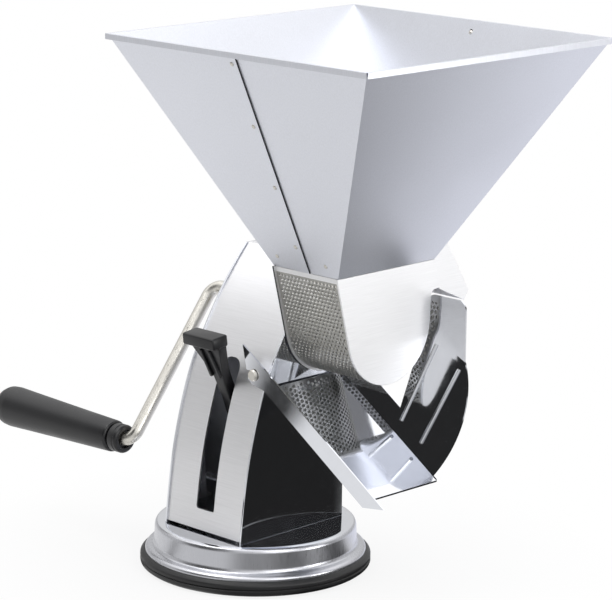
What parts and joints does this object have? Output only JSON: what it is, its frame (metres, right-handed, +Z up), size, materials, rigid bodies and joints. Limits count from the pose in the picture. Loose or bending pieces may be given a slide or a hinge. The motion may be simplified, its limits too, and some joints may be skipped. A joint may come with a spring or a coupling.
{
  "type": "hand cranked tomato strainer",
  "caption": "Hand-cranked tomato strainer: square hopper over a perforated trough with a bladed rotor, juice tray and skin outlet, on a lever-locked suction base.",
  "frame": {"origin": "centre of the suction pad's underside, on the table", "axes": "+Z up; +X along the rotor shaft away from the crank, towards the trough's free end; -Y towards the side with the suction lever"},
  "size_m": [0.3484, 0.2074, 0.325],
  "materials": {
    "bright_steel": "mirror polished stainless sheet",
    "satin_steel": "satin stainless sheet",
    "rod_steel": "drawn bright bar",
    "black_rubber": "moulded matt rubber",
    "black_plastic": "moulded, fine satin",
    "white_nylon": "moulded nylon",
    "wiper_rubber": "food-grade soft strip"
  },
  "bodies": {
    "stand": {"suction_pad": "black_rubber", "base_cup": "satin_steel", "column_front": "satin_steel", "column_crank_plate": "bright_steel", "column_trough_plate": "bright_steel", "column_back": "satin_steel", "foot_screws": "rod_steel", "lever_bracket": "satin_steel", "lever_pin": "rod_steel", "stem_guide": "white_nylon", "guide_ring": "rod_steel", "trough_screen": "satin_steel", "trough_end_plate": "satin_steel", "trough_crank_plate": "satin_steel", "trough_rivets": "rod_steel", "throat_collar": "satin_steel", "skin_hood": "bright_steel", "outer_bush": "white_nylon", "inner_bush": "white_nylon", "tray_stud": "rod_steel", "tray_rest": "satin_steel"},
    "lever": {"suction_lever": "black_plastic"},
    "plunger": {"plunger_stem": "rod_steel"},
    "rotor": {"drive_shaft": "rod_steel", "rotor_hub": "white_nylon", "blade_wipers": "wiper_rubber", "shaft_nut": "rod_steel", "crank_arm": "rod_steel", "cross_pin": "rod_steel", "rod_collar": "rod_steel", "grip_ferrule": "black_plastic", "push_nut": "rod_steel"},
    "handgrip": {"grip": "black_plastic", "grip_plug": "black_plastic"},
    "hopper": {"hopper_crank_half": "bright_steel", "hopper_free_half": "bright_steel", "hopper_rivets": "rod_steel", "hopper_spigot": "satin_steel"},
    "tray": {"juice_tray": "bright_steel"}
  },
  "joints": [
    {"name": "crank_spin", "type": "hinge", "parent": "stand", "child": "rotor", "pos_m": [0, 0.026, 0.157], "axis": [1, 0, 0], "continuous": true},
    {"name": "grip_spin", "type": "hinge", "parent": "rotor", "child": "handgrip", "pos_m": [-0.13, -0.042, 0.07], "axis": [1, 0, 0], "continuous": true},
    {"name": "lever_swing", "type": "hinge", "parent": "stand", "child": "lever", "pos_m": [0, 0, 0.062], "axis": [1, 0, 0], "range_deg": [0, 75]},
    {"name": "plunger_slide", "type": "slide", "parent": "stand", "child": "plunger", "axis": [0, 0, 1], "range_m": [0, 0.0038]},
    {"name": "hopper_lift", "type": "slide", "parent": "stand", "child": "hopper", "axis": [0, 0, 1], "range_m": [0, 0.12]},
    {"name": "tray_pull", "type": "slide", "parent": "stand", "child": "tray", "axis": [1, 0, 0], "range_m": [0, 0.09]}
  ],
  "couplings": [
    {"joint": "plunger_slide", "follows": "lever_swing", "m_per_rad": 0.00279}
  ]
}
